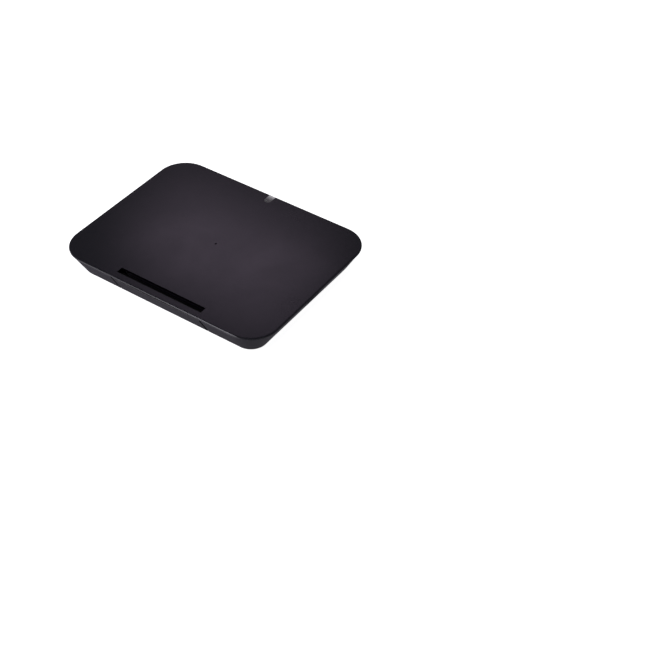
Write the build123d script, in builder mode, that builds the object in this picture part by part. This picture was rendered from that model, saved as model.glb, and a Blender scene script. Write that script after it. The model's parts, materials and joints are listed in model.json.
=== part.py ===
from build123d import *
import os
from math import sqrt

# Wireless charging pad with a fold-out leg and a pop-up phone ledge.
# Millimetres. Origin at the centre of the footprint on the plane the rubber
# feet stand on. +X along the long side (towards the USB-C inlet), +Y towards
# the status window, -Y towards the ledge slot, +Z up.

# ---------------------------------------------------------------- dimensions
LENGTH = 130.0            # cover, along X
DEPTH = 101.0             # cover, along Y
HEIGHT = 14.5             # feet to charging face
CORNER_R = 16.0           # cover corner radius
EDGE_R = 0.75             # rounding of the charging face's edge
RIM_BOTTOM = 13.5         # the cover's rim ends here and the base begins
COVER_UNDER = 13.3        # underside of the cover plate

BASE_BOTTOM = 0.6         # underside of the base, the feet reach below it
BASE_STEP = 0.25          # the base starts this far inside the rim
BOTTOM_LENGTH = 114.7     # base outline at its underside, along X
BOTTOM_DEPTH = 87.1       # base outline at its underside, along Y
BOTTOM_R = 8.8
BOTTOM_EDGE_R = 0.35
WALL = 1.6
FLOOR_TOP = 2.1

SLOT_LENGTH = 54.0
SLOT_WIDTH = 4.0
SLOT_Y = -44.5

WINDOW_W = 4.0            # status window
WINDOW_IN = 43.6          # inner end of the status window

WELL_X = 28.8             # half width of the well the leg folds into
WELL_WALL = 2.2
WELL_ROOF = 3.2           # underside of the well's roof
ROOF_TOP = 4.1
WELL_BACK = 18.7
CHAMBER_BACK = -39.6      # rear wall of the ledge's chamber
HUMP_Y = 12.9             # the roof is higher from here to the hinge
HUMP_ROOF = 4.7
HUMP_TOP = 5.5

HINGE_Y = 16.0
HINGE_Z = 2.4
PIN_R = 0.75
PIN_FIT = 0.05            # radial running clearance in the leg
KNUCKLE_R = 1.6
HEEL_R = 2.4
LEG_X = 27.9              # half width of the leg
LEG_TOP = 2.8
TOE_T = 1.3               # thickness of the upturned end, measured along Y
TOE_TOP = 11.7            # top of the upturned end, under its rubber tip
TIP_TOP = 12.3

LEDGE_X = 26.7            # half width of the ledge's blade
LEDGE_FRONT = -46.2
LEDGE_BACK = -42.8
LEDGE_TOP = 11.0
GRIP_TOP = 11.8
FLANGE_LOW = 4.6
FLANGE_HIGH = 5.4
FLANGE_BACK = -40.6
EAR_X = 29.3
EAR_Y0, EAR_Y1 = -43.6, -42.2
LEDGE_TRAVEL = 7.5

POST_X, POST_Y = 46.0, 33.0   # housing screws and feet
FOOT_R = 5.0
SCREW_R = 0.95
JOIN_Z = 5.5              # cover bosses meet the base posts here

PORT_Z = 7.2              # centre of the USB-C inlet
PORT_MOUTH = 58.6         # the receptacle's mouth
PORT_W, PORT_H = 8.94, 3.16
PLUG_W, PLUG_H = 12.8, 6.4    # recess for the plug's body

BOARD_Z0, BOARD_Z1 = 5.3, 6.3
BOARD_SCREWS = [(34.8, -22.8), (53.6, -22.8), (53.6, 22.8), (-4.5, 36.0)]

COIL_TURNS = 10
COIL_PITCH = 1.175
COIL_WIRE_W = 1.05
COIL_R0 = 10.8
COIL_Z0, COIL_Z1 = 10.65, 12.65
FERRITE_Z = 9.5
BRACKET_Z = 8.8
LIP_Z = 11.6              # the cover's locating lip reaches down to here
RIB_Z = 11.7              # and the guide rib at the slot to here
LED_Y = 42.2

os.makedirs("parts", exist_ok=True)


def base_half(z, inset=0.0):
    """Half length, half depth and corner radius of the sloping base at z."""
    t = (z - BASE_BOTTOM) / (RIM_BOTTOM - BASE_BOTTOM)
    hx = BOTTOM_LENGTH / 2 + (LENGTH / 2 - BASE_STEP - BOTTOM_LENGTH / 2) * t
    hy = BOTTOM_DEPTH / 2 + (DEPTH / 2 - BASE_STEP - BOTTOM_DEPTH / 2) * t
    r = BOTTOM_R + (CORNER_R - BASE_STEP - BOTTOM_R) * t
    return hx - inset, hy - inset, r - inset


def wall_y(z):
    """Y of the sloping outer face on the slot side."""
    return -base_half(z)[1]


def toe_y(z):
    """Y of the inner face of the leg's upturned end."""
    return wall_y(z) + TOE_T


# ----------------------------------------------------------------- top cover
with BuildPart() as top_cover:
    with BuildSketch(Plane.XY.offset(RIM_BOTTOM)):
        RectangleRounded(LENGTH, DEPTH, CORNER_R)
    extrude(amount=HEIGHT - RIM_BOTTOM)
    fillet(top_cover.faces().sort_by(Axis.Z)[-1].edges(), EDGE_R)
    fillet(top_cover.faces().sort_by(Axis.Z)[0].edges(), 0.2)
    # the plate is thicker inside the base wall
    with BuildSketch(Plane.XY.offset(COVER_UNDER)):
        RectangleRounded(123.6, 94.8, 12.9)
    extrude(amount=RIM_BOTTOM - COVER_UNDER)
    # locating lip inside the base wall
    with BuildSketch(Plane.XY.offset(LIP_Z)):
        RectangleRounded(123.6, 94.8, 12.9)
        RectangleRounded(121.2, 92.4, 11.7, mode=Mode.SUBTRACT)
        with Locations((0, -47)):
            Rectangle(64.0, 8, mode=Mode.SUBTRACT)
        with Locations((0, 47)):
            Rectangle(5.6, 8, mode=Mode.SUBTRACT)
        with Locations((62, 0)):
            Rectangle(8, 18, mode=Mode.SUBTRACT)
    extrude(amount=COVER_UNDER - LIP_Z)
    # guide rib along the rim side of the slot
    with BuildSketch(Plane.XY.offset(RIB_Z)):
        with Locations((0, SLOT_Y - SLOT_WIDTH / 2 - 0.4)):
            Rectangle(SLOT_LENGTH, 0.8)
    extrude(amount=COVER_UNDER - RIB_Z)
    # screw bosses
    with BuildSketch(Plane.XY.offset(JOIN_Z)):
        with GridLocations(2 * POST_X, 2 * POST_Y, 2, 2):
            Circle(3.0)
    extrude(amount=COVER_UNDER - JOIN_Z)
    with BuildSketch(Plane.XY.offset(JOIN_Z)):
        with GridLocations(2 * POST_X, 2 * POST_Y, 2, 2):
            Circle(SCREW_R)
    extrude(amount=5.4, mode=Mode.SUBTRACT)
    # ledge slot
    with BuildSketch(Plane.XY.offset(RIM_BOTTOM - 0.5)):
        with Locations((0, SLOT_Y)):
            Rectangle(SLOT_LENGTH, SLOT_WIDTH)
    extrude(amount=3.0, mode=Mode.SUBTRACT)
    # notch for the status window
    with BuildSketch(Plane.XY.offset(RIM_BOTTOM - 0.5)):
        with Locations((0, WINDOW_IN + WINDOW_W / 2)):
            Circle(WINDOW_W / 2)
        with Locations((0, WINDOW_IN + WINDOW_W / 2 + 3)):
            Rectangle(WINDOW_W, 6)
    extrude(amount=3.0, mode=Mode.SUBTRACT)
    # centre mark
    with BuildSketch(Plane.XY.offset(HEIGHT - 0.35)):
        Circle(0.6)
    extrude(amount=1.0, mode=Mode.SUBTRACT)
top_cover.part.label = "top_cover"
export_step(top_cover.part, "parts/top_cover.step")

# -------------------------------------------------------------- status window
with BuildPart() as light_pipe:
    with BuildSketch(Plane.XY.offset(RIM_BOTTOM)):
        RectangleRounded(LENGTH, DEPTH, CORNER_R)
    extrude(amount=HEIGHT - RIM_BOTTOM)
    fillet(light_pipe.faces().sort_by(Axis.Z)[-1].edges(), EDGE_R)
    with BuildSketch(Plane.XY.offset(RIM_BOTTOM - 0.5)):
        with Locations((0, WINDOW_IN + WINDOW_W / 2)):
            Circle(WINDOW_W / 2)
        with Locations((0, WINDOW_IN + WINDOW_W / 2 + 3)):
            Rectangle(WINDOW_W, 6)
    extrude(amount=3.0, mode=Mode.INTERSECT)
    with BuildSketch(Plane.XY.offset(COVER_UNDER)):
        with Locations((0, WINDOW_IN + WINDOW_W / 2)):
            Circle(WINDOW_W / 2)
    extrude(amount=RIM_BOTTOM - COVER_UNDER)
    # stem that brings the light up from the board
    with BuildSketch(Plane.XY.offset(LIP_Z + 0.3)):
        with Locations((0, (LED_Y - 0.8 + 46.2) / 2)):
            Rectangle(4.6, 46.2 - LED_Y + 0.8)
    extrude(amount=COVER_UNDER - LIP_Z - 0.3)
    with BuildSketch(Plane.XY.offset(BOARD_Z1 + 0.95)):
        with Locations((0, LED_Y)):
            Rectangle(2.4, 1.6)
    extrude(amount=LIP_Z + 0.3 - BOARD_Z1 - 0.95)
light_pipe.part.label = "light_pipe"
export_step(light_pipe.part, "parts/light_pipe.step")

# ----------------------------------------------------------------- base shell
with BuildPart() as base_shell:
    for z in (BASE_BOTTOM, RIM_BOTTOM):
        hx, hy, r = base_half(z)
        with BuildSketch(Plane.XY.offset(z)):
            RectangleRounded(2 * hx, 2 * hy, r)
    loft(ruled=True)
    fillet(base_shell.faces().sort_by(Axis.Z)[0].edges(), BOTTOM_EDGE_R)
    for z in (FLOOR_TOP, RIM_BOTTOM + 0.2):
        hx, hy, r = base_half(z, WALL)
        with BuildSketch(Plane.XY.offset(z)):
            RectangleRounded(2 * hx, 2 * hy, r)
    loft(ruled=True, mode=Mode.SUBTRACT)
    # block that becomes the roof and the sides of the well
    with BuildSketch(Plane.YZ):
        with BuildLine():
            Polyline((wall_y(BASE_BOTTOM) + 0.9, BASE_BOTTOM),
                     (wall_y(COVER_UNDER) + 0.9, COVER_UNDER),
                     (CHAMBER_BACK + 1.0, COVER_UNDER),
                     (CHAMBER_BACK + 1.0, ROOF_TOP),
                     (HUMP_Y - 0.9, ROOF_TOP),
                     (HUMP_Y - 0.9, HUMP_TOP),
                     (WELL_BACK + 1.2, HUMP_TOP),
                     (WELL_BACK + 1.2, BASE_BOTTOM),
                     close=True)
        make_face()
    extrude(amount=WELL_X + WELL_WALL, both=True)
    # bosses that hold the magnets
    with BuildSketch(Plane.XY.offset(WELL_ROOF)):
        with Locations((-20, -34), (20, -34)):
            Circle(3.6)
    extrude(amount=5.0 - WELL_ROOF)
    # block around the inlet
    with BuildSketch(Plane.XZ):
        with BuildLine():
            Polyline((PORT_MOUTH - 1.4, 2.0),
                     (PORT_MOUTH - 1.4, COVER_UNDER),
                     (base_half(COVER_UNDER)[0] - 0.5, COVER_UNDER),
                     (base_half(2.0)[0] - 0.5, 2.0),
                     close=True)
        make_face()
    extrude(amount=8.0, both=True)
    # posts for the housing screws, standoffs for the board
    with BuildSketch(Plane.XY.offset(FLOOR_TOP - 0.5)):
        with GridLocations(2 * POST_X, 2 * POST_Y, 2, 2):
            Circle(3.4)
    extrude(amount=JOIN_Z - FLOOR_TOP + 0.5)
    with BuildSketch(Plane.XY.offset(FLOOR_TOP - 0.5)):
        with Locations(*BOARD_SCREWS):
            Circle(2.0)
    extrude(amount=BOARD_Z0 - FLOOR_TOP + 0.5)
    # the well itself, open below and on the slot side
    with BuildSketch(Plane.YZ):
        with BuildLine():
            Polyline((-60, -1), (-60, HEIGHT), (CHAMBER_BACK, HEIGHT),
                     (CHAMBER_BACK, WELL_ROOF), (HUMP_Y, WELL_ROOF),
                     (HUMP_Y, HUMP_ROOF), (WELL_BACK, HUMP_ROOF),
                     (WELL_BACK, -1), close=True)
        make_face()
    extrude(amount=WELL_X, both=True, mode=Mode.SUBTRACT)
    # grooves the ledge's ears run in
    with BuildSketch(Plane.XY.offset(FLANGE_LOW - 0.25)):
        with Locations((0, (EAR_Y0 + EAR_Y1) / 2)):
            Rectangle(2 * (EAR_X + 0.3), EAR_Y1 - EAR_Y0 + 0.6)
    extrude(amount=12, mode=Mode.SUBTRACT)
    # magnet pockets
    with BuildSketch(Plane.XY.offset(WELL_ROOF - 0.5)):
        with Locations((-20, -34), (20, -34)):
            Circle(2.5)
    extrude(amount=1.5, mode=Mode.SUBTRACT)
    # pin holes
    with BuildSketch(Plane.YZ.offset(-(WELL_X + WELL_WALL + 1))):
        with Locations((HINGE_Y, HINGE_Z)):
            Circle(PIN_R)
    extrude(amount=2 * (WELL_X + WELL_WALL + 1), mode=Mode.SUBTRACT)
    # foot recesses, counterbores and clearance holes
    with BuildSketch(Plane.XY.offset(BASE_BOTTOM)):
        with GridLocations(2 * POST_X, 2 * POST_Y, 2, 2):
            Circle(FOOT_R)
    extrude(amount=0.4, mode=Mode.SUBTRACT)
    with BuildSketch(Plane.XY.offset(BASE_BOTTOM)):
        with GridLocations(2 * POST_X, 2 * POST_Y, 2, 2):
            Circle(2.1)
    extrude(amount=1.7, mode=Mode.SUBTRACT)
    with BuildSketch(Plane.XY.offset(BASE_BOTTOM)):
        with GridLocations(2 * POST_X, 2 * POST_Y, 2, 2):
            Circle(1.1)
    extrude(amount=JOIN_Z, mode=Mode.SUBTRACT)
    with BuildSketch(Plane.XY.offset(BOARD_Z0 - 2.6)):
        with Locations(*BOARD_SCREWS):
            Circle(0.8)
    extrude(amount=3, mode=Mode.SUBTRACT)
    # inlet: recess for the plug's body, then the hole for the receptacle
    with BuildSketch(Plane.YZ.offset(PORT_MOUTH)):
        with Locations((0, PORT_Z)):
            RectangleRounded(PLUG_W, PLUG_H, 3.1)
    extrude(amount=12, mode=Mode.SUBTRACT)
    with BuildSketch(Plane.YZ.offset(PORT_MOUTH - 3)):
        with Locations((0, PORT_Z)):
            RectangleRounded(PORT_W + 0.16, PORT_H + 0.16, 1.6)
    extrude(amount=5, mode=Mode.SUBTRACT)
base_shell.part.label = "base_shell"
export_step(base_shell.part, "parts/base_shell.step")

# -------------------------------------------------------------- kickstand leg
with BuildPart() as kickstand_leg:
    with BuildSketch(Plane.YZ):
        with BuildLine():
            Polyline((HINGE_Y, BASE_BOTTOM),
                     (wall_y(BASE_BOTTOM), BASE_BOTTOM),
                     (wall_y(TOE_TOP), TOE_TOP),
                     (toe_y(TOE_TOP), TOE_TOP),
                     (toe_y(LEG_TOP), LEG_TOP),
                     (HINGE_Y, LEG_TOP),
                     close=True)
        make_face()
        with Locations((HINGE_Y, HINGE_Z)):
            Circle(KNUCKLE_R)
        # heel that meets the roof when the leg is fully open
        heel_y = sqrt(HEEL_R ** 2 - (HINGE_Z - BASE_BOTTOM) ** 2)
        heel_t = sqrt(HEEL_R ** 2 - 0.2 ** 2)
        with BuildLine():
            Polyline((HINGE_Y + heel_t, HINGE_Z + 0.2), (HINGE_Y, HINGE_Z + 0.2),
                     (HINGE_Y, BASE_BOTTOM), (HINGE_Y + heel_y, BASE_BOTTOM))
            ThreePointArc((HINGE_Y + heel_y, BASE_BOTTOM),
                          (HINGE_Y + HEEL_R * 0.94, HINGE_Z - HEEL_R * sqrt(1 - 0.94 ** 2)),
                          (HINGE_Y + heel_t, HINGE_Z + 0.2))
        make_face()
    extrude(amount=LEG_X, both=True)
    # bottom edge rounded like the base's
    low_edge = kickstand_leg.edges().filter_by(Axis.X).sort_by(
        lambda e: abs(e.center().Y - wall_y(BASE_BOTTOM)) + abs(e.center().Z - BASE_BOTTOM))[0]
    fillet(low_edge, BOTTOM_EDGE_R)
    # pocket for the keeper plate
    with BuildSketch(Plane.XY.offset(2.0)):
        with Locations((0, -34)):
            Rectangle(48, 6)
    extrude(amount=2, mode=Mode.SUBTRACT)
    # blind holes for the stub pins
    for side in (-1, 1):
        with BuildSketch(Plane.YZ.offset(side * 21.5)):
            with Locations((HINGE_Y, HINGE_Z)):
                Circle(PIN_R + PIN_FIT)
        extrude(amount=side * 8, mode=Mode.SUBTRACT)
    # shallow panel on the underside
    with BuildSketch(Plane.XY.offset(BASE_BOTTOM)):
        with Locations((0, -13)):
            RectangleRounded(44, 42, 4)
    extrude(amount=0.3, mode=Mode.SUBTRACT)
kickstand_leg.part.label = "kickstand_leg"
export_step(kickstand_leg.part, "parts/kickstand_leg.step")

with BuildPart() as leg_foot_pad:
    with BuildSketch(Plane.YZ):
        with BuildLine():
            Polyline((wall_y(TOE_TOP), TOE_TOP), (wall_y(TIP_TOP), TIP_TOP),
                     (wall_y(TIP_TOP) + TOE_T, TIP_TOP),
                     (wall_y(TOE_TOP) + TOE_T, TOE_TOP), close=True)
        make_face()
    extrude(amount=LEG_X, both=True)
leg_foot_pad.part.label = "leg_foot_pad"
export_step(leg_foot_pad.part, "parts/leg_foot_pad.step")

with BuildPart() as keeper_plate:
    with BuildSketch(Plane.XY.offset(2.0)):
        with Locations((0, -34)):
            Rectangle(48, 6)
    extrude(amount=0.8)
keeper_plate.part.label = "keeper_plate"
export_step(keeper_plate.part, "parts/keeper_plate.step")

with BuildPart() as hinge_pins:
    for side in (-1, 1):
        with BuildSketch(Plane.YZ.offset(side * 22.0)):
            with Locations((HINGE_Y, HINGE_Z)):
                Circle(PIN_R)
        extrude(amount=side * 8.2)
hinge_pins.part.label = "hinge_pins"
export_step(hinge_pins.part, "parts/hinge_pins.step")

with BuildPart() as detent_magnets:
    with BuildSketch(Plane.XY.offset(WELL_ROOF)):
        with Locations((-20, -34), (20, -34)):
            Circle(2.5)
    extrude(amount=1.0)
detent_magnets.part.label = "detent_magnets"
export_step(detent_magnets.part, "parts/detent_magnets.step")

# --------------------------------------------------------------- phone ledge
with BuildPart() as phone_ledge:
    with BuildSketch(Plane.YZ):
        with BuildLine():
            Polyline((LEDGE_FRONT, LEDGE_TOP), (LEDGE_FRONT, 8.9),
                     (toe_y(FLANGE_LOW) + 0.35, FLANGE_LOW),
                     (FLANGE_BACK, FLANGE_LOW), (FLANGE_BACK, FLANGE_HIGH),
                     (LEDGE_BACK, FLANGE_HIGH), (LEDGE_BACK, LEDGE_TOP),
                     close=True)
        make_face()
    extrude(amount=LEDGE_X, both=True)
    # ears that run in the grooves of the base
    with BuildSketch(Plane.XY.offset(FLANGE_LOW)):
        with Locations((0, (EAR_Y0 + EAR_Y1) / 2)):
            Rectangle(2 * EAR_X, EAR_Y1 - EAR_Y0)
    extrude(amount=FLANGE_HIGH - FLANGE_LOW)
phone_ledge.part.label = "phone_ledge"
export_step(phone_ledge.part, "parts/phone_ledge.step")

with BuildPart() as ledge_grip:
    with BuildSketch(Plane.XY.offset(LEDGE_TOP)):
        with Locations((0, (LEDGE_FRONT + LEDGE_BACK) / 2)):
            Rectangle(2 * LEDGE_X, LEDGE_BACK - LEDGE_FRONT)
    extrude(amount=GRIP_TOP - LEDGE_TOP)
    fillet(ledge_grip.faces().sort_by(Axis.Z)[-1].edges(), 0.3)
ledge_grip.part.label = "ledge_grip"
export_step(ledge_grip.part, "parts/ledge_grip.step")

# --------------------------------------------------------- feet and fasteners
with BuildPart() as rubber_feet:
    with BuildSketch(Plane.XY):
        with GridLocations(2 * POST_X, 2 * POST_Y, 2, 2):
            Circle(FOOT_R)
    extrude(amount=1.0)
    fillet(rubber_feet.edges().filter_by(GeomType.CIRCLE).group_by(Axis.Z)[0], 0.35)
rubber_feet.part.label = "rubber_feet"
export_step(rubber_feet.part, "parts/rubber_feet.step")

with BuildPart() as housing_screws:
    with BuildSketch(Plane.XY.offset(1.1)):
        with GridLocations(2 * POST_X, 2 * POST_Y, 2, 2):
            Circle(1.9)
    extrude(amount=1.2)
    with BuildSketch(Plane.XY.offset(2.3)):
        with GridLocations(2 * POST_X, 2 * POST_Y, 2, 2):
            Circle(SCREW_R)
    extrude(amount=8.2)
    with BuildSketch(Plane.XY.offset(1.1)):
        with GridLocations(2 * POST_X, 2 * POST_Y, 2, 2):
            Rectangle(2.0, 0.45)
            Rectangle(0.45, 2.0)
    extrude(amount=0.6, mode=Mode.SUBTRACT)
housing_screws.part.label = "housing_screws"
export_step(housing_screws.part, "parts/housing_screws.step")

with BuildPart() as board_screws:
    with BuildSketch(Plane.XY.offset(BOARD_Z0 - 2.4)):
        with Locations(*BOARD_SCREWS):
            Circle(0.8)
    extrude(amount=BOARD_Z1 - BOARD_Z0 + 2.4)
    with BuildSketch(Plane.XY.offset(BOARD_Z1)):
        with Locations(*BOARD_SCREWS):
            Circle(1.6)
    extrude(amount=1.0)
    with BuildSketch(Plane.XY.offset(BOARD_Z1 + 0.5)):
        with Locations(*BOARD_SCREWS):
            Rectangle(1.7, 0.4)
            Rectangle(0.4, 1.7)
    extrude(amount=0.6, mode=Mode.SUBTRACT)
board_screws.part.label = "board_screws"
export_step(board_screws.part, "parts/board_screws.step")

# -------------------------------------------------------------- coil assembly
with BuildPart() as coil_bracket:
    with BuildSketch(Plane.XY.offset(BRACKET_Z)):
        RectangleRounded(56, 56, 3)
    extrude(amount=1.5)
    with BuildSketch(Plane.XY.offset(FERRITE_Z)):
        Rectangle(53.2, 53.2)
    extrude(amount=2, mode=Mode.SUBTRACT)
    with BuildSketch(Plane.XY.offset(ROOF_TOP)):
        with Locations((0, -24)):
            Rectangle(48, 2)
        with Locations((-22, -4), (22, -4)):
            Rectangle(2, 26)
    extrude(amount=BRACKET_Z - ROOF_TOP)
    with BuildSketch(Plane.XY.offset(HUMP_TOP)):
        with Locations((0, HINGE_Y)):
            Rectangle(44, 2)
    extrude(amount=BRACKET_Z - HUMP_TOP)
    with BuildSketch(Plane.XY.offset(BRACKET_Z)):
        Circle(9)
    extrude(amount=1, mode=Mode.SUBTRACT)
coil_bracket.part.label = "coil_bracket"
export_step(coil_bracket.part, "parts/coil_bracket.step")

with BuildPart() as coil_ferrite:
    with BuildSketch(Plane.XY.offset(FERRITE_Z)):
        RectangleRounded(53, 53, 1.0)
    extrude(amount=1.0)
coil_ferrite.part.label = "coil_ferrite"
export_step(coil_ferrite.part, "parts/coil_ferrite.step")

with BuildPart() as coil_tape:
    with BuildSketch(Plane.XY.offset(FERRITE_Z + 1.0)):
        Circle(24.0)
    extrude(amount=COIL_Z0 - FERRITE_Z - 1.0)
coil_tape.part.label = "coil_tape"
export_step(coil_tape.part, "parts/coil_tape.step")

# flat spiral of half turns, each tangent to the next
with BuildPart() as coil_winding:
    with BuildSketch(Plane.XY.offset(COIL_Z0)):
        with BuildLine():
            for k in range(2 * COIL_TURNS):
                cx = 0.0 if k % 2 == 0 else COIL_PITCH / 2
                rk = COIL_R0 + k * COIL_PITCH / 2
                a0 = 0.0 if k % 2 == 0 else 180.0
                CenterArc((cx, 0), rk - COIL_WIRE_W / 2, a0, 180)
                CenterArc((cx, 0), rk + COIL_WIRE_W / 2, a0, 180)
            end_x = COIL_PITCH / 2 + COIL_R0 + (2 * COIL_TURNS - 1) * COIL_PITCH / 2
            Line((COIL_R0 - COIL_WIRE_W / 2, 0), (COIL_R0 + COIL_WIRE_W / 2, 0))
            Line((end_x - COIL_WIRE_W / 2, 0), (end_x + COIL_WIRE_W / 2, 0))
        make_face()
    extrude(amount=COIL_Z1 - COIL_Z0)
coil_winding.part.label = "coil_winding"
export_step(coil_winding.part, "parts/coil_winding.step")

with BuildPart() as coil_foam:
    with BuildSketch(Plane.XY.offset(COIL_Z1)):
        Circle(22.0)
        Circle(12.0, mode=Mode.SUBTRACT)
        with Locations((16, 0)):
            Rectangle(16, 3, mode=Mode.SUBTRACT)
    extrude(amount=COVER_UNDER - COIL_Z1)
coil_foam.part.label = "coil_foam"
export_step(coil_foam.part, "parts/coil_foam.step")

LEAD_R = 0.3
LEAD_X = 32.4
with BuildPart() as coil_leads:
    with BuildLine(Plane.XZ.offset(0.36)):
        FilletPolyline((COIL_R0, COIL_Z0 + 0.25), (COIL_R0, COIL_Z1 + 0.32),
                       (LEAD_X, COIL_Z1 + 0.32), (LEAD_X, BOARD_Z1 + 0.3),
                       (LEAD_X + 2.6, BOARD_Z1 + 0.3), radius=0.9)
    with BuildSketch(Plane(origin=(COIL_R0, -0.36, COIL_Z0 + 0.25), z_dir=(0, 0, 1))):
        Circle(LEAD_R)
    sweep()
    with BuildLine(Plane.XZ.offset(-0.36)):
        FilletPolyline((end_x - 0.2, COIL_Z0 + 0.95), (LEAD_X, COIL_Z0 + 0.95),
                       (LEAD_X, BOARD_Z1 + 0.3), (LEAD_X + 2.6, BOARD_Z1 + 0.3), radius=0.9)
    with BuildSketch(Plane(origin=(end_x - 0.2, 0.36, COIL_Z0 + 0.95), z_dir=(1, 0, 0))):
        Circle(LEAD_R)
    sweep()
coil_leads.part.label = "coil_leads"
export_step(coil_leads.part, "parts/coil_leads.step")

# ----------------------------------------------------------------- main board
with BuildPart() as main_board:
    with BuildSketch(Plane.XY.offset(BOARD_Z0)):
        with BuildLine():
            Polyline((31.8, -26.5), (56.6, -26.5), (56.6, 27.0), (41.2, 27.0),
                     (41.2, 43.4), (-8.0, 43.4), (-8.0, 30.0), (31.8, 30.0),
                     close=True)
        make_face()
        with Locations((54.6, 0)):
            Rectangle(7.2, 9.2, mode=Mode.SUBTRACT)
        with Locations(*BOARD_SCREWS):
            Circle(0.95, mode=Mode.SUBTRACT)
    extrude(amount=BOARD_Z1 - BOARD_Z0)
main_board.part.label = "main_board"
export_step(main_board.part, "parts/main_board.step")

with BuildPart() as usb_c_shell:
    with BuildSketch(Plane.YZ.offset(PORT_MOUTH - 7.3)):
        with Locations((0, PORT_Z)):
            RectangleRounded(PORT_W, PORT_H, 1.5)
            RectangleRounded(PORT_W - 0.6, PORT_H - 0.6, 1.2, mode=Mode.SUBTRACT)
    extrude(amount=7.3)
    # solder tabs on the board
    with BuildSketch(Plane.XY.offset(BOARD_Z1)):
        with Locations((54.2, 4.9), (54.2, -4.9)):
            Rectangle(1.6, 1.6)
    extrude(amount=0.3)
usb_c_shell.part.label = "usb_c_shell"
export_step(usb_c_shell.part, "parts/usb_c_shell.step")

with BuildPart() as usb_c_tongue:
    with BuildSketch(Plane.YZ.offset(PORT_MOUTH - 7.3)):
        with Locations((0, PORT_Z)):
            RectangleRounded(PORT_W - 0.6, PORT_H - 0.6, 1.2)
    extrude(amount=2.0)
    with BuildSketch(Plane.YZ.offset(PORT_MOUTH - 5.3)):
        with Locations((0, PORT_Z)):
            Rectangle(6.7, 0.7)
    extrude(amount=4.6)
usb_c_tongue.part.label = "usb_c_tongue"
export_step(usb_c_tongue.part, "parts/usb_c_tongue.step")

with BuildPart() as usb_c_contacts:
    for z0 in (PORT_Z + 0.35, PORT_Z - 0.35 - 0.06):
        with BuildSketch(Plane.XY.offset(z0)):
            with Locations((PORT_MOUTH - 3.2, 0)):
                with GridLocations(1, 0.5, 1, 12):
                    Rectangle(3.4, 0.25)
        extrude(amount=0.06)
usb_c_contacts.part.label = "usb_c_contacts"
export_step(usb_c_contacts.part, "parts/usb_c_contacts.step")

with BuildPart() as controller_chip:
    with BuildSketch(Plane.XY.offset(BOARD_Z1)):
        with Locations((45.0, 11.5)):
            Rectangle(6, 6)
    extrude(amount=0.9)
    chamfer(controller_chip.edges().filter_by(Axis.Z).sort_by(Axis.X)[0], 0.5)
controller_chip.part.label = "controller_chip"
export_step(controller_chip.part, "parts/controller_chip.step")

with BuildPart() as bridge_mosfets:
    with BuildSketch(Plane.XY.offset(BOARD_Z1)):
        with Locations((37.5, -4.2), (37.5, 0.4), (37.5, 5.0), (37.5, -8.8)):
            Rectangle(3.3, 3.3)
    extrude(amount=0.8)
bridge_mosfets.part.label = "bridge_mosfets"
export_step(bridge_mosfets.part, "parts/bridge_mosfets.step")

with BuildPart() as resonance_capacitors:
    with BuildSketch(Plane.XY.offset(BOARD_Z1)):
        with Locations((36.5, 12.0), (36.5, 15.4), (36.5, 18.8), (36.5, 22.2)):
            Rectangle(3.2, 2.5)
    extrude(amount=2.0)
resonance_capacitors.part.label = "resonance_capacitors"
export_step(resonance_capacitors.part, "parts/resonance_capacitors.step")

with BuildPart() as power_inductor:
    with BuildSketch(Plane.XY.offset(BOARD_Z1)):
        with Locations((46.5, -14.5)):
            RectangleRounded(7, 7, 1.2)
    extrude(amount=3.2)
    chamfer(power_inductor.faces().sort_by(Axis.Z)[-1].edges(), 0.4)
power_inductor.part.label = "power_inductor"
export_step(power_inductor.part, "parts/power_inductor.step")

with BuildPart() as input_capacitors:
    with BuildSketch(Plane.XY.offset(BOARD_Z1)):
        with Locations((47.5, -5.0), (47.5, -2.4), (47.5, 0.2)):
            Rectangle(3.2, 1.6)
    extrude(amount=1.6)
input_capacitors.part.label = "input_capacitors"
export_step(input_capacitors.part, "parts/input_capacitors.step")

with BuildPart() as chip_resistors:
    with BuildSketch(Plane.XY.offset(BOARD_Z1)):
        with Locations((45.5, 19.5)):
            with GridLocations(2.0, 1.5, 4, 3):
                Rectangle(1.0, 0.5)
        with Locations((4.0, 38.0), (8.0, 38.0)):
            Rectangle(1.0, 0.5)
    extrude(amount=0.35)
chip_resistors.part.label = "chip_resistors"
export_step(chip_resistors.part, "parts/chip_resistors.step")

with BuildPart() as status_led:
    with BuildSketch(Plane.XY.offset(BOARD_Z1)):
        with Locations((0, LED_Y)):
            Rectangle(1.6, 1.6)
    extrude(amount=0.75)
status_led.part.label = "status_led"
export_step(status_led.part, "parts/status_led.step")
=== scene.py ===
import bpy, bmesh, json, math
from mathutils import Vector, Matrix


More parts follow.
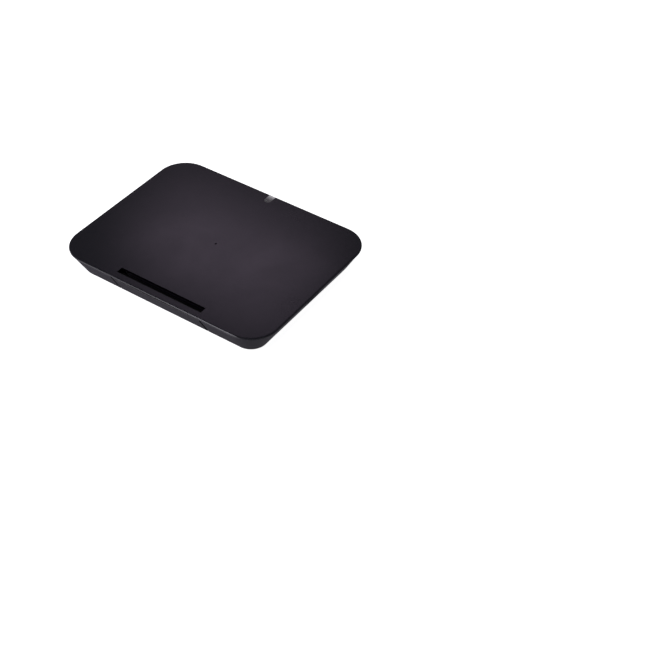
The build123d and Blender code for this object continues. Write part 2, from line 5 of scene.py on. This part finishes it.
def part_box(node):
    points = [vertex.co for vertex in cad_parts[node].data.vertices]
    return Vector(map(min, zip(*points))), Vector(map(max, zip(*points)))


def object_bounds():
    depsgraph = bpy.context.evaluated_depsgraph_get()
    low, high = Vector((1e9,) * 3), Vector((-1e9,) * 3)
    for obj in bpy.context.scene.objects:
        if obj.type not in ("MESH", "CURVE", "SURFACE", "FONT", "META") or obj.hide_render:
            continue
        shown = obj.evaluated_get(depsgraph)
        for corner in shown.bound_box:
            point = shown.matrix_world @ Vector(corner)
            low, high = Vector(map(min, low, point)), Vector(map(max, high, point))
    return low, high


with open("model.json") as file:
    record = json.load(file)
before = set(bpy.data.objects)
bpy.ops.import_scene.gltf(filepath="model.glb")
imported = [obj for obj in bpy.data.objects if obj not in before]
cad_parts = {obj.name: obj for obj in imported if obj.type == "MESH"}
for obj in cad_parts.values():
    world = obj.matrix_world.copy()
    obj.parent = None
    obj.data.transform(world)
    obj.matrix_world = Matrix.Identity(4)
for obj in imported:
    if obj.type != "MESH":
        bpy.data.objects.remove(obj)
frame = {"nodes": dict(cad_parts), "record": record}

cad_lo, cad_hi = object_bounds()
nodes = frame["nodes"]
scene = bpy.context.scene
scene.view_settings.view_transform = "Standard"
scene.view_settings.look = "None"

# ---------------------------------------------------------------- the camera
TOP_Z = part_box("top_cover")[1].z
cam_data = bpy.data.cameras.new("camera")
cam_data.sensor_width = 36.0
cam_data.lens = 70.56
cam_data.shift_y = -0.0003
cam = bpy.data.objects.new("camera", cam_data)
scene.collection.objects.link(cam)
fwd = Vector((-0.40351, 0.61173, -0.68043)).normalized()
right = Vector((0.82728, 0.56162, 0.01431)).normalized()
up = right.cross(fwd).normalized()
cam.matrix_world = Matrix((
    (right.x, up.x, -fwd.x, 0.34474),
    (right.y, up.y, -fwd.y, -0.40860),
    (right.z, up.z, -fwd.z, 0.43009 + TOP_Z),
    (0, 0, 0, 1)))
cam_data.clip_start, cam_data.clip_end = 0.01, 50.0
scene.camera = cam


# ------------------------------------------------------------ material helpers
class Mat:
    """A node material with short names for what the surfaces below need."""

    def __init__(self, name):
        self.m = bpy.data.materials.new(name)
        self.m.use_nodes = True
        self.t = self.m.node_tree
        self.t.nodes.clear()
        self.out = self.add("ShaderNodeOutputMaterial")
        self.p = self.add("ShaderNodeBsdfPrincipled")
        self.t.links.new(self.p.outputs["BSDF"], self.out.inputs["Surface"])
        self.co = self.add("ShaderNodeTexCoord").outputs["Object"]

    def add(self, kind, **props):
        n = self.t.nodes.new(kind)
        for k, v in props.items():
            setattr(n, k, v)
        return n

    def link(self, a, b):
        self.t.links.new(a, b)

    def put(self, name, value):
        s = self.p.inputs[name]
        if hasattr(value, "is_linked") or isinstance(value, bpy.types.NodeSocket):
            self.link(value, s)
        else:
            s.default_value = value

    def noise(self, scale, detail=3.0, rough=0.55, co=None, distortion=0.0):
        n = self.add("ShaderNodeTexNoise")
        n.inputs["Scale"].default_value = scale
        n.inputs["Detail"].default_value = detail
        n.inputs["Roughness"].default_value = rough
        n.inputs["Distortion"].default_value = distortion
        self.link(co or self.co, n.inputs["Vector"])
        return n.outputs["Fac"]

    def voronoi(self, scale, feature="F1", co=None, out="Distance"):
        n = self.add("ShaderNodeTexVoronoi", feature=feature)
        n.inputs["Scale"].default_value = scale
        self.link(co or self.co, n.inputs["Vector"])
        return n.outputs[out]

    def ramp(self, fac, stops, interp="LINEAR"):
        n = self.add("ShaderNodeValToRGB")
        n.color_ramp.interpolation = interp
        e = n.color_ramp.elements
        while len(e) > 1:
            e.remove(e[-1])
        for i, (pos, c) in enumerate(stops):
            if not hasattr(c, "__len__"):
                c = (c, c, c)
            x = e[0] if i == 0 else e.new(pos)
            x.position = pos
            x.color = (c[0], c[1], c[2], 1.0)
        self.link(fac, n.inputs["Fac"])
        return n.outputs["Color"]

    def maprange(self, v, a, b, c, d, smooth=False):
        n = self.add("ShaderNodeMapRange")
        n.interpolation_type = "SMOOTHSTEP" if smooth else "LINEAR"
        n.clamp = True
        for key, val in (("From Min", a), ("From Max", b), ("To Min", c), ("To Max", d)):
            n.inputs[key].default_value = val
        self.link(v, n.inputs["Value"])
        return n.outputs["Result"]

    def math(self, op, a, b=None):
        n = self.add("ShaderNodeMath", operation=op)
        for i, v in enumerate((a, b)):
            if v is None:
                continue
            if isinstance(v, (int, float)):
                n.inputs[i].default_value = v
            else:
                self.link(v, n.inputs[i])
        return n.outputs["Value"]

    def mix(self, fac, a, b, mode="MIX"):
        n = self.add("ShaderNodeMix", data_type="RGBA", blend_type=mode)
        if isinstance(fac, (int, float)):
            n.inputs["Factor"].default_value = fac
        else:
            self.link(fac, n.inputs["Factor"])
        for key, v in ((6, a), (7, b)):
            if isinstance(v, bpy.types.NodeSocket):
                self.link(v, n.inputs[key])
            else:
                n.inputs[key].default_value = (v[0], v[1], v[2], 1.0)
        return n.outputs[2]

    def xyz(self, co=None):
        n = self.add("ShaderNodeSeparateXYZ")
        self.link(co or self.co, n.inputs["Vector"])
        return n.outputs["X"], n.outputs["Y"], n.outputs["Z"]

    def bump(self, height, distance, strength=1.0, normal=None):
        n = self.add("ShaderNodeBump")
        n.inputs["Strength"].default_value = strength
        n.inputs["Distance"].default_value = distance
        self.link(height, n.inputs["Height"])
        if normal is not None:
            self.link(normal, n.inputs["Normal"])
        return n.outputs["Normal"]

    def edges(self, radius):
        """0 on flat faces, 1 along sharp or tight edges."""
        n = self.add("ShaderNodeBevel", samples=6)
        n.inputs["Radius"].default_value = radius
        g = self.add("ShaderNodeNewGeometry")
        d = self.add("ShaderNodeVectorMath", operation="DOT_PRODUCT")
        self.link(n.outputs["Normal"], d.inputs[0])
        self.link(g.outputs["Normal"], d.inputs[1])
        return self.maprange(d.outputs["Value"], 0.985, 0.90, 0.0, 1.0)


def moulded_plastic(name, dark, light, rough, grain_mm, grain_um, specular=0.5, slot_shade_box=None, seam_shade=None, mark_shade=None, under_rim_shade=None):
    """Black injection-moulded plastic: spark-eroded grain, faint flow clouds, slightly polished high spots; the
    optional masks paint near-black shade into recesses and gaps.
    """
    m = Mat(name)
    cloud = m.noise(38.0, 4.0, 0.6)
    fine = m.noise(1000.0 / (grain_mm * 3.0), 2.0)
    col = m.ramp(m.math("ADD", m.math("MULTIPLY", cloud, 0.75), m.math("MULTIPLY", fine, 0.25)),
                 [(0.30, dark), (0.72, light)])
    shade_masks = []
    x, y, z = m.xyz()
    # painted shade inside the slot
    if slot_shade_box:
        (x1, y0, y1, z1) = slot_shade_box
        shade_masks.append(m.math("MULTIPLY", m.math("LESS_THAN", m.math("ABSOLUTE", x), x1),
                            m.math("MULTIPLY", m.math("GREATER_THAN", y, y0),
                                   m.math("MULTIPLY", m.math("LESS_THAN", y, y1), m.math("LESS_THAN", z, z1)))))
    # painted shade inside the pit of the centre mark
    if mark_shade:
        near = m.math("LESS_THAN", m.math("SQRT", m.math("ADD", m.math("MULTIPLY", x, x), m.math("MULTIPLY", y, y))), mark_shade[0])
        shade_masks.append(m.math("MULTIPLY", near, m.math("LESS_THAN", z, mark_shade[1])))
    # painted shade in the gap beside the leg and on the wall edges either side of it
    if seam_shade:
        off = m.math("ABSOLUTE", m.math("SUBTRACT", m.math("ABSOLUTE", x), seam_shade[0]))
        shade_masks.append(m.math("MULTIPLY", m.math("LESS_THAN", off, seam_shade[1]), m.math("LESS_THAN", y, seam_shade[2])))
    if under_rim_shade:
        # painted shade on the lower lip of the rim above the leg's tip, standing in for the shade of the gap below
        # it; it fades out along x
        along = m.maprange(m.math("ABSOLUTE", x), under_rim_shade[0], under_rim_shade[1], 1.0, 0.0)
        shade_masks.append(m.math("MULTIPLY", along, m.math("MULTIPLY", m.math("LESS_THAN", y, under_rim_shade[2]),
                                                      m.math("LESS_THAN", z, under_rim_shade[3]))))
    # painted shade: the slot, the pit of the centre mark, the narrow gaps beside the leg with the wall edges either
    # side, and the rim's lower lip are mixed to near-black with no reflection, standing in for the little light that
    # reaches them
    painted_shade = None
    for k in shade_masks:
        painted_shade = k if painted_shade is None else m.math("MAXIMUM", painted_shade, k)
    if painted_shade is not None:
        col = m.mix(painted_shade, col, (0.0012, 0.0011, 0.0014))
    m.put("Base Color", col)
    pits = m.voronoi(1000.0 / grain_mm, "SMOOTH_F1")
    grain = m.math("ADD", m.math("MULTIPLY", pits, 0.6),
                   m.math("MULTIPLY", m.noise(1000.0 / (grain_mm * 0.55), 2.0), 0.5))
    m.put("Normal", m.bump(grain, grain_um * 1e-6, 0.55))
    smear = m.noise(22.0, 5.0, 0.65, distortion=0.4)
    m.put("Roughness", m.math("ADD", m.maprange(smear, 0.3, 0.7, rough - 0.035, rough + 0.035),
                              m.math("MULTIPLY", m.math("SUBTRACT", fine, 0.5), 0.10)))
    if painted_shade is None:
        m.put("Specular IOR Level", specular)
    else:
        m.put("Specular IOR Level", m.math("MULTIPLY", m.math("SUBTRACT", 1.0, painted_shade), specular))
    return m.m


# the default tone of 0.0022 is darker than the rubber's own black: partly painted shade, so that the grip down in the
# slot reads as dark as the slot's shade; the feet share it
def rubber(name, tone=0.0022, grain_mm=0.25, grain_um=18.0, rough=0.72, top=None):
    m = Mat(name)
    n = m.noise(1000.0 / grain_mm, 3.0, 0.6)
    dust = m.noise(160.0, 5.0, 0.7)
    col = m.ramp(dust, [(0.35, (tone, tone, tone * 1.05)), (0.75, (tone * 2.0, tone * 1.95, tone * 1.95))])
    if top:
        # painted shade: the end face, which sits in the dark gap under the rim, is mixed to near-black; the outer
        # face keeps the tip rubber's paler tone
        x, y, z = m.xyz()
        col = m.mix(m.math("GREATER_THAN", z, top), col, (0.0012, 0.0011, 0.0014))
    m.put("Base Color", col)
    m.put("Roughness", m.maprange(n, 0.3, 0.7, rough - 0.08, rough + 0.08))
    m.put("Normal", m.bump(n, grain_um * 1e-6, 0.6))
    m.put("Specular IOR Level", 0.10)
    return m.m


def metal(name, colour, rough, scratch=(60.0, 900.0, 900.0), um=3.0):
    m = Mat(name)
    mp = m.add("ShaderNodeMapping")
    mp.inputs["Scale"].default_value = scratch
    m.link(m.co, mp.inputs["Vector"])
    n = m.noise(3.0, 4.0, 0.6, co=mp.outputs["Vector"])
    stain = m.noise(180.0, 3.0)
    c0 = tuple(c * 0.82 for c in colour)
    m.put("Base Color", m.ramp(stain, [(0.3, c0), (0.7, colour)]))
    m.put("Metallic", 1.0)
    m.put("Roughness", m.maprange(n, 0.3, 0.7, rough - 0.07, rough + 0.09))
    m.put("Normal", m.bump(n, um * 1e-6, 0.5))
    return m.m


def smoked(name):
    """Smoky translucent window, darkest over the board; its base colour brightens towards the rim as painted light
    standing in for daylight entering it there.
    """
    m = Mat(name)
    haze = m.noise(900.0, 3.0)
    x, y, z = m.xyz()
    # painted light: the base colour ramps from 0.10 over the board to 0.95 at the rim
    along = m.maprange(y, 0.0436, 0.0505, 0.0, 1.0)
    along = m.math("ADD", along, m.math("MULTIPLY", m.math("SUBTRACT", haze, 0.5), 0.05))
    m.put("Base Color", m.ramp(along, [(0.0, 0.10), (0.28, 0.12), (0.42, 0.17), (0.58, 0.30), (0.72, 0.55), (0.86, 0.95), (1.0, 0.95)]))
    m.put("Transmission Weight", 0.25)
    m.put("IOR", 1.49)
    m.put("Roughness", m.maprange(haze, 0.3, 0.7, 0.20, 0.30))
    m.put("Normal", m.bump(m.noise(2600.0, 2.0), 4e-6, 0.4))
    return m.m


def speckled(name, a, b, scale, rough, um=6.0, spec=0.4):
    m = Mat(name)
    n = m.noise(scale, 4.0, 0.6)
    m.put("Base Color", m.ramp(n, [(0.32, a), (0.68, b)]))
    m.put("Roughness", m.maprange(n, 0.3, 0.7, rough - 0.06, rough + 0.06))
    m.put("Normal", m.bump(n, um * 1e-6, 0.5))
    m.put("Specular IOR Level", spec)
    return m.m


def litz(name):
    """Enamelled copper strands twisted into one wire: fine slanted ridges."""
    m = Mat(name)
    x, y, z = m.xyz()
    ang = m.math("ARCTAN2", y, x)
    ph = m.math("ADD", m.math("MULTIPLY", ang, 150.0), m.math("MULTIPLY", z, 9000.0))
    w = m.math("MULTIPLY", m.math("ADD", m.math("SINE", ph), 1.0), 0.5)
    # painted shade and highlight: the base colour darkens in the grooves between strands and lightens on their
    # crests, following the ridge pattern that also drives the bump
    m.put("Base Color", m.ramp(w, [(0.0, (0.16, 0.05, 0.015)), (0.6, (0.62, 0.24, 0.08)), (1.0, (0.80, 0.36, 0.13))]))
    m.put("Metallic", 0.85)
    m.put("Roughness", m.maprange(m.noise(4000.0), 0.3, 0.7, 0.26, 0.40))
    m.put("Normal", m.bump(w, 45e-6, 0.8))
    return m.m


def board(name):
    """Green solder mask over copper fill and tracks."""
    m = Mat(name)
    br = m.add("ShaderNodeTexBrick")
    br.offset = 0.5
    br.inputs["Scale"].default_value = 260.0
    br.inputs["Mortar Size"].default_value = 0.035
    m.link(m.co, br.inputs["Vector"])
    tr = br.outputs["Fac"]
    n = m.noise(300.0, 4.0)
    mask = m.ramp(n, [(0.3, (0.006, 0.055, 0.022)), (0.7, (0.010, 0.085, 0.034))])
    m.put("Base Color", m.mix(tr, mask, (0.020, 0.135, 0.052)))
    m.put("Roughness", m.maprange(n, 0.3, 0.7, 0.24, 0.36))
    m.put("Normal", m.bump(tr, 25e-6, 0.6))
    m.put("Coat Weight", 0.35)
    m.put("Coat Roughness", 0.12)
    return m.m


# box of the slot's interior, painted near-black as shade in cover_plastic
SLOT_SHADE_BOX = (0.02702, -0.04652, -0.04248, TOP_Z - 0.00004)
mats = {
    "cover_plastic": moulded_plastic("cover_plastic", (0.0076, 0.0076, 0.0106), (0.0094, 0.0092, 0.0128), 0.23, 0.16, 4.0,
                                     slot_shade_box=SLOT_SHADE_BOX, mark_shade=(0.00070, TOP_Z - 0.00001), under_rim_shade=(0.008, 0.024, -0.048, 0.01385)),
    "base_plastic": moulded_plastic("base_plastic", (0.0116, 0.0100, 0.0158), (0.0146, 0.0126, 0.0196), 0.38, 0.22, 12.0,
                                    seam_shade=(0.02835, 0.00064, 0.0165)),
    "smoked_window": smoked("smoked_window"),
    "black_rubber": rubber("black_rubber"),
    "tip_rubber": rubber("tip_rubber", 0.046, rough=0.55, top=0.01226),
    "steel": metal("steel", (0.56, 0.56, 0.57), 0.34),
    "magnet": metal("magnet", (0.66, 0.65, 0.63), 0.18),
    "inner_plastic": speckled("inner_plastic", (0.035, 0.035, 0.038), (0.050, 0.050, 0.053), 1800.0, 0.5),
    "ferrite": speckled("ferrite", (0.030, 0.028, 0.030), (0.055, 0.051, 0.052), 2400.0, 0.62),
    "tape": speckled("tape", (0.55, 0.46, 0.28), (0.66, 0.57, 0.36), 700.0, 0.42),
    "copper_litz": litz("copper_litz"),
    "foam": speckled("foam", (0.030, 0.030, 0.033), (0.075, 0.075, 0.080), 3600.0, 0.9, um=60.0, spec=0.2),
    "circuit_board": board("circuit_board"),
    "chip_black": speckled("chip_black", (0.012, 0.012, 0.013), (0.022, 0.022, 0.023), 3200.0, 0.55),
    "ceramic_part": speckled("ceramic_part", (0.34, 0.22, 0.12), (0.46, 0.33, 0.20), 1500.0, 0.45),
    "gold_contact": metal("gold_contact", (0.78, 0.55, 0.24), 0.22),
    "led_body": speckled("led_body", (0.70, 0.68, 0.52), (0.80, 0.79, 0.66), 1500.0, 0.3),
}
slot_of = {s["node"]: s["material_slot"] for s in frame["record"]["subparts"]}
for name, o in nodes.items():
    mat = mats[slot_of[name]]
    if not o.material_slots:
        o.data.materials.append(None)
    for s in o.material_slots:
        s.link = "OBJECT"
        s.material = mat

# ------------------------------------------------------------ floor and light
me = bpy.data.meshes.new("floor")
bm = bmesh.new()
bmesh.ops.create_grid(bm, x_segments=8, y_segments=8, size=6.0)
bm.to_mesh(me)
bm.free()
floor = bpy.data.objects.new("floor", me)
scene.collection.objects.link(floor)
floor.location.z = cad_lo.z - 0.00002
fm = bpy.data.materials.new("floor")
fm.use_nodes = True
fp = fm.node_tree.nodes["Principled BSDF"]
fp.inputs["Base Color"].default_value = (0.86, 0.86, 0.86, 1)
fp.inputs["Roughness"].default_value = 0.9
fp.inputs["Specular IOR Level"].default_value = 0.1
fp.inputs["Emission Color"].default_value = (1, 1, 1, 1)
fp.inputs["Emission Strength"].default_value = 0.95
floor.data.materials.append(fm)
floor.visible_glossy = False      # the black walls lean over the floor and would mirror all of it

world = bpy.data.worlds.new("world")
scene.world = world
world.use_nodes = True
wt = world.node_tree
bg = wt.nodes["Background"]
tc = wt.nodes.new("ShaderNodeTexCoord")
sx = wt.nodes.new("ShaderNodeSeparateXYZ")
wt.links.new(tc.outputs["Generated"], sx.inputs["Vector"])


def world_math(op, a, b, c=None):
    n = wt.nodes.new("ShaderNodeMath")
    n.operation = op
    for i, v in enumerate((a, b, c)):
        if v is None:
            continue
        if isinstance(v, (int, float)):
            n.inputs[i].default_value = v
        else:
            wt.links.new(v, n.inputs[i])
    return n.outputs["Value"]


def world_ramp(fac, stops, interp="EASE"):
    n = wt.nodes.new("ShaderNodeValToRGB")
    n.color_ramp.interpolation = interp
    e = n.color_ramp.elements
    while len(e) > 1:
        e.remove(e[-1])
    for i, (at, c) in enumerate(stops):
        x = e[0] if i == 0 else e.new(at)
        x.position, x.color = at, (c[0], c[1], c[2], 1.0)
    wt.links.new(fac, n.inputs["Fac"])
    return n.outputs["Color"]


def tone(v, g=0.965, b=1.07):
    return (v, v * g, v * b)


height = world_math("MULTIPLY_ADD", sx.outputs["Z"], 0.5, 0.5)
sideways = world_math("MULTIPLY_ADD", sx.outputs["X"], 0.5, 0.5)
depthwise = world_math("MULTIPLY_ADD", sx.outputs["Y"], 0.5, 0.5)
# dim room all round
room = world_ramp(height, [(0.0, tone(0.14)), (0.10, tone(0.15)), (0.24, tone(0.24)), (0.50, tone(0.22)), (0.60, tone(0.12)),
                           (0.70, tone(0.10)), (0.84, tone(0.10)), (0.92, tone(0.03))])
# bright low screen in front on the left
screen = world_ramp(height, [(0.11, tone(0.0)), (0.20, tone(1.60)), (0.50, tone(1.40)), (0.57, tone(0.75)), (0.68, tone(0.0))])
in_x = world_ramp(sideways, [(0.34, (1, 1, 1)), (0.56, (0.03, 0.03, 0.03))])
in_y = world_ramp(depthwise, [(0.38, (1, 1, 1)), (0.54, (0.05, 0.05, 0.05))])


def world_mix(kind, a, b):
    n = wt.nodes.new("ShaderNodeMix")
    n.data_type, n.blend_type = "RGBA", kind
    n.inputs["Factor"].default_value = 1.0
    wt.links.new(a, n.inputs[6])
    wt.links.new(b, n.inputs[7])
    return n.outputs[2]


surround = world_mix("ADD", room, world_mix("MULTIPLY", screen, world_mix("MULTIPLY", in_x, in_y)))
# the backdrop itself is plain white
path = wt.nodes.new("ShaderNodeLightPath")
pick = wt.nodes.new("ShaderNodeMix")
pick.data_type = "RGBA"
wt.links.new(path.outputs["Is Camera Ray"], pick.inputs["Factor"])
wt.links.new(surround, pick.inputs[6])
pick.inputs[7].default_value = (1.0, 1.0, 1.0, 1.0)
wt.links.new(pick.outputs[2], bg.inputs["Color"])
bg.inputs["Strength"].default_value = 1.0


def area(name, at, to, size, power, colour=(1, 1, 1), size_y=None):
    d = bpy.data.lights.new(name, "AREA")
    d.shape = "RECTANGLE"
    d.size = size
    d.size_y = size_y or size
    d.energy = power
    d.color = colour
    o = bpy.data.objects.new(name, d)
    scene.collection.objects.link(o)
    o.location = at
    o.rotation_mode = "QUATERNION"
    o.rotation_quaternion = (Vector(to) - Vector(at)).to_track_quat("-Z", "Y")
    return o


# large soft source overhead, and a smaller one beyond the pad whose reflection falls on its middle
overhead = area("overhead", (0.0, -0.1, 1.6), (0, 0, 0), 1.3, 8.5)
overhead.visible_glossy = False   # the rounded edge shows a dark line, not this source
middle = Vector((0.0115, -0.004, TOP_Z))
back = (middle - cam.matrix_world.translation).normalized()
back.z = -back.z
panel = middle + back * 0.42
area("beyond", tuple(panel), tuple(panel - Vector((0, 0, 1))), 0.168, 0.052, (1.0, 0.79, 1.05), 0.106)
# upright panel in front whose reflection draws the bright line along the rounded edge, towards the near corner
area("front", (-0.170, -0.395, TOP_Z + 0.27), (0.045, -0.050, TOP_Z), 0.13, 0.98, (1.0, 0.96, 1.06), 0.34)
